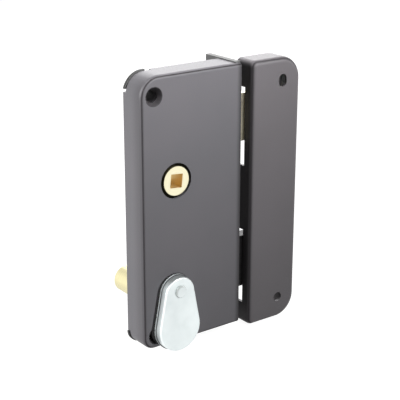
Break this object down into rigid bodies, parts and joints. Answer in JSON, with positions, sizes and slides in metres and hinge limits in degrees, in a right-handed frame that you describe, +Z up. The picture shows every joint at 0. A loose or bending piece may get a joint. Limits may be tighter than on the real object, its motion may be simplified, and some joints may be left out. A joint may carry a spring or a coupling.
{
  "type": "rim lock",
  "caption": "Painted box rim lock with spindle follower, spring latch, key-driven deadbolt, pear-shaped keyhole cover, lock barrel through the door and a box keeper.",
  "frame": {"origin": "on the axis of the square spindle hole, in the plane of the case that lies on the door", "axes": "+X from the closed side of the case towards the keeper, +Y into the door along the lock barrel, +Z up"},
  "size_m": [0.0995, 0.0537, 0.1451],
  "materials": {
    "case_paint": "satin",
    "plate_steel": "satin",
    "zinc_steel": "satin",
    "bolt_steel": "satin",
    "spring_wire": "polished",
    "barrel_brass": "satin",
    "latch_brass": "satin",
    "follower_brass": "satin"
  },
  "bodies": {
    "lock_case": {"case_shell": "case_paint", "back_plate": "plate_steel", "faceplate": "plate_steel", "screw_sleeve_1": "zinc_steel", "screw_sleeve_2": "zinc_steel", "case_post_1": "zinc_steel", "case_post_2": "zinc_steel", "case_post_3": "zinc_steel", "case_screw_1": "zinc_steel", "case_screw_2": "zinc_steel", "case_screw_3": "zinc_steel", "latch_guide_pin": "zinc_steel", "bolt_guide_pin": "zinc_steel", "spring_anchor": "zinc_steel", "anchor_rivet": "zinc_steel", "latch_spring": "spring_wire", "bolt_leaf_spring": "spring_wire", "leaf_rivet_1": "zinc_steel", "leaf_rivet_2": "zinc_steel", "barrel_tube": "barrel_brass", "barrel_rivet_1": "zinc_steel", "barrel_rivet_2": "zinc_steel", "front_bush": "barrel_brass", "cover_base": "zinc_steel", "cover_rivet": "zinc_steel", "keeper_shell": "case_paint", "keeper_brace": "zinc_steel", "keeper_rivet_1": "zinc_steel", "keeper_rivet_2": "zinc_steel"},
    "follower": {"follower_hub": "follower_brass", "follower_arm": "zinc_steel"},
    "latch": {"latch_head": "latch_brass", "latch_tail": "zinc_steel", "latch_rivet_1": "zinc_steel", "latch_rivet_2": "zinc_steel", "spring_rod": "zinc_steel"},
    "deadbolt": {"deadbolt": "bolt_steel"},
    "plug": {"barrel_plug": "barrel_brass", "bolt_cam": "zinc_steel", "cam_pin": "zinc_steel", "plug_clip": "spring_wire"},
    "keyhole_cover": {"keyhole_cover": "zinc_steel"}
  },
  "joints": [
    {"name": "follower_turn", "type": "hinge", "parent": "lock_case", "child": "follower", "pos_m": [0, 0, 0], "axis": [0, -1, 0], "range_deg": [0, 40]},
    {"name": "latch_slide", "type": "slide", "parent": "lock_case", "child": "latch", "axis": [-1, 0, 0], "range_m": [0, 0.012], "stiffness_N_per_m": 300, "springref_m": -0.01, "deforming": ["latch_spring"]},
    {"name": "plug_turn", "type": "hinge", "parent": "lock_case", "child": "plug", "pos_m": [0, 0, -0.067], "axis": [0, -1, 0], "range_deg": [0, 90]},
    {"name": "deadbolt_slide", "type": "slide", "parent": "lock_case", "child": "deadbolt", "axis": [-1, 0, 0], "range_m": [0, 0.014]},
    {"name": "cover_swing", "type": "hinge", "parent": "lock_case", "child": "keyhole_cover", "pos_m": [-0.0012, -0.018, -0.0565], "axis": [0, -1, 0], "range_deg": [-110, 110]}
  ],
  "couplings": [
    {"joint": "follower_turn", "follows": "latch_slide", "rad_per_m": 58.177},
    {"joint": "plug_turn", "follows": "deadbolt_slide", "rad_per_m": 112.2}
  ]
}
